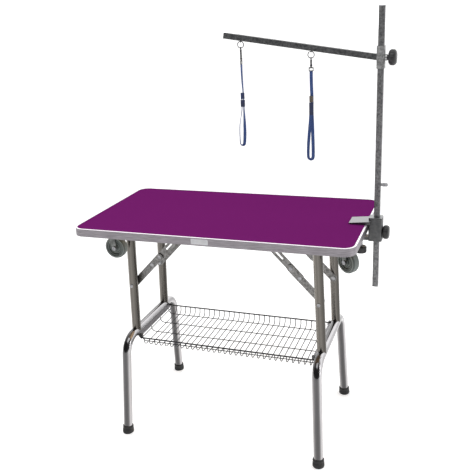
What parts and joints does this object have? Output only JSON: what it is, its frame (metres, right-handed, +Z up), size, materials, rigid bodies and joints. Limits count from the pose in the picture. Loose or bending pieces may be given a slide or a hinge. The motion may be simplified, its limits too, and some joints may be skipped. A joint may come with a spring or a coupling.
{
  "type": "folding grooming table",
  "caption": "Folding pet grooming table with ribbed mat, aluminium edge, tube legs, wire basket, casters and a clamp-on arm with two looped leads.",
  "frame": {"origin": "on the floor, at the middle of the whole part's plan, arm and knob included", "axes": "+Z up; +X along the table top towards the arm; the front, with the casters, faces -Y"},
  "size_m": [1.0226, 0.53, 1.463],
  "materials": {
    "plywood": "matt",
    "purple_mat": "ribbed matt",
    "satin_aluminium": "satin",
    "blank_label": "matt",
    "zinc_steel": "zinc plated",
    "bolt_steel": "plated",
    "cast_clamp": "mottled, painted",
    "galvanised_tube": "galvanised",
    "grey_cap": "matt",
    "black_plastic": "satin",
    "chrome_tube": "polished",
    "black_rubber": "matt",
    "stay_steel": "mottled zinc",
    "wheel_plastic": "satin",
    "grey_tyre": "matt",
    "hook_chrome": "polished",
    "blue_webbing": "woven",
    "dark_blue_plastic": "gloss",
    "bronze_ferrule": "worn",
    "wire_chrome": "polished"
  },
  "bodies": {
    "table": {"top_board": "plywood", "top_mat": "purple_mat", "edge_profile": "satin_aluminium", "name_plate": "blank_label", "seam_rivets": "satin_aluminium", "underside_brackets": "zinc_steel", "hinge_bolts": "bolt_steel", "stay_top_rivets": "bolt_steel", "board_screws": "bolt_steel", "caster_plates": "zinc_steel", "arm_clamp": "cast_clamp"},
    "left_leg": {"left_posts": "chrome_tube", "left_base_tube": "chrome_tube", "left_feet": "black_rubber", "left_basket_clips": "black_plastic"},
    "left_upper_stay": {"left_upper_stays": "stay_steel"},
    "left_lower_stay": {"left_lower_stays": "stay_steel", "left_stay_rivets": "bolt_steel"},
    "right_leg": {"right_posts": "chrome_tube", "right_base_tube": "chrome_tube", "right_feet": "black_rubber", "right_basket_clips": "black_plastic"},
    "right_upper_stay": {"right_upper_stays": "stay_steel"},
    "right_lower_stay": {"right_lower_stays": "stay_steel", "right_stay_rivets": "bolt_steel"},
    "left_caster": {"left_caster_fork": "zinc_steel", "left_caster_axle": "bolt_steel"},
    "left_wheel": {"left_caster_hub": "wheel_plastic", "left_caster_tyre": "grey_tyre"},
    "right_caster": {"right_caster_fork": "zinc_steel", "right_caster_axle": "bolt_steel"},
    "right_wheel": {"right_caster_hub": "wheel_plastic", "right_caster_tyre": "grey_tyre"},
    "basket": {"basket_rim": "wire_chrome", "basket_cross_wires": "wire_chrome", "basket_long_wires": "wire_chrome"},
    "mast": {"mast_lower_tube": "galvanised_tube", "mast_spigot": "galvanised_tube"},
    "mast_top": {"mast_upper_tube": "galvanised_tube", "mast_cap": "grey_cap"},
    "thumb_screw": {"thumb_screw": "bolt_steel"},
    "arm": {"arm_sleeve": "galvanised_tube", "arm_tube": "galvanised_tube", "arm_eyes": "galvanised_tube"},
    "sleeve_knob": {"sleeve_knob": "black_plastic"},
    "clamp_knob": {"clamp_knob": "black_plastic"},
    "jaw_screw": {"jaw_screw": "bolt_steel", "jaw_knob": "black_plastic"},
    "left_lead_hook": {"left_lead_ring": "hook_chrome", "left_snap_hook": "hook_chrome"},
    "left_lead": {"left_swivel_eye": "hook_chrome", "left_strap": "blue_webbing", "left_keeper": "dark_blue_plastic", "left_ferrule": "dark_blue_plastic"},
    "right_lead_hook": {"right_lead_ring": "hook_chrome", "right_snap_hook": "hook_chrome"},
    "right_lead": {"right_swivel_eye": "hook_chrome", "right_strap": "blue_webbing", "right_keeper": "dark_blue_plastic", "right_ferrule": "bronze_ferrule"}
  },
  "joints": [
    {"name": "left_leg_fold", "type": "hinge", "parent": "table", "child": "left_leg", "pos_m": [-0.36925, 0, 0.742], "axis": [0, -1, 0], "range_deg": [0, 84.8]},
    {"name": "left_upper_stay_turn", "type": "hinge", "parent": "table", "child": "left_upper_stay", "pos_m": [-0.17325, 0, 0.757], "axis": [0, -1, 0], "range_deg": [-40.52, 0]},
    {"name": "left_lower_stay_turn", "type": "hinge", "parent": "left_leg", "child": "left_lower_stay", "pos_m": [-0.37609, 0, 0.546], "axis": [0, -1, 0], "range_deg": [0, 39.33]},
    {"name": "right_leg_fold", "type": "hinge", "parent": "table", "child": "right_leg", "pos_m": [0.29675, 0, 0.742], "axis": [0, 1, 0], "range_deg": [0, 92]},
    {"name": "right_upper_stay_turn", "type": "hinge", "parent": "table", "child": "right_upper_stay", "pos_m": [0.10075, 0, 0.757], "axis": [0, 1, 0], "range_deg": [-42.83, 0]},
    {"name": "right_lower_stay_turn", "type": "hinge", "parent": "right_leg", "child": "right_lower_stay", "pos_m": [0.30359, 0, 0.546], "axis": [0, 1, 0], "range_deg": [0, 39.49]},
    {"name": "left_caster_swivel", "type": "hinge", "parent": "table", "child": "left_caster", "pos_m": [-0.40825, -0.19, 0.76], "axis": [0, 0, 1], "continuous": true},
    {"name": "left_wheel_spin", "type": "hinge", "parent": "left_caster", "child": "left_wheel", "pos_m": [-0.38825, -0.19, 0.714], "axis": [0, 1, 0], "continuous": true},
    {"name": "right_caster_swivel", "type": "hinge", "parent": "table", "child": "right_caster", "pos_m": [0.38455, -0.1382, 0.76], "axis": [0, 0, 1], "continuous": true},
    {"name": "right_wheel_spin", "type": "hinge", "parent": "right_caster", "child": "right_wheel", "pos_m": [0.40073, -0.14996, 0.714], "axis": [0.5878, 0.809, 0], "continuous": true},
    {"name": "basket_slide", "type": "slide", "parent": "table", "child": "basket", "axis": [0, 0, -1], "range_m": [0, 0.3]},
    {"name": "mast_slide", "type": "slide", "parent": "table", "child": "mast", "axis": [0, 0, 1], "range_m": [-0.05, 0.2]},
    {"name": "mast_top_lift", "type": "slide", "parent": "mast", "child": "mast_top", "axis": [0, 0, 1], "range_m": [0, 0.05]},
    {"name": "thumb_screw_turn", "type": "hinge", "parent": "mast_top", "child": "thumb_screw", "pos_m": [0.47875, 0, 0.923], "axis": [1, 0, 0], "continuous": true},
    {"name": "arm_slide", "type": "slide", "parent": "mast_top", "child": "arm", "axis": [0, 0, 1], "range_m": [-0.12, 0.1]},
    {"name": "sleeve_knob_turn", "type": "hinge", "parent": "arm", "child": "sleeve_knob", "pos_m": [0.49375, 0, 1.3137], "axis": [1, 0, 0], "continuous": true},
    {"name": "clamp_knob_turn", "type": "hinge", "parent": "table", "child": "clamp_knob", "pos_m": [0.48875, 0, 0.7655], "axis": [1, 0, 0], "continuous": true},
    {"name": "jaw_screw_turn", "type": "hinge", "parent": "table", "child": "jaw_screw", "pos_m": [0.41575, 0, 0.701], "axis": [0, 0, 1], "continuous": true},
    {"name": "left_lead_swing", "type": "hinge", "parent": "arm", "child": "left_lead_hook", "pos_m": [0.02445, 0, 1.37029], "axis": [1, 0, 0], "range_deg": [-60, 60]},
    {"name": "left_lead_swivel", "type": "hinge", "parent": "left_lead_hook", "child": "left_lead", "pos_m": [0.02445, 0, 1.31029], "axis": [0, 0, 1], "continuous": true},
    {"name": "right_lead_swing", "type": "hinge", "parent": "arm", "child": "right_lead_hook", "pos_m": [0.25215, 0, 1.33532], "axis": [1, 0, 0], "range_deg": [-60, 60]},
    {"name": "right_lead_swivel", "type": "hinge", "parent": "right_lead_hook", "child": "right_lead", "pos_m": [0.25215, 0, 1.27532], "axis": [0, 0, 1], "continuous": true}
  ],
  "couplings": [
    {"joint": "left_upper_stay_turn", "follows": "left_leg_fold", "ratio": -0.47661},
    {"joint": "left_lower_stay_turn", "follows": "left_leg_fold", "ratio": 0.46261},
    {"joint": "right_upper_stay_turn", "follows": "right_leg_fold", "ratio": -0.46451},
    {"joint": "right_lower_stay_turn", "follows": "right_leg_fold", "ratio": 0.42815}
  ]
}
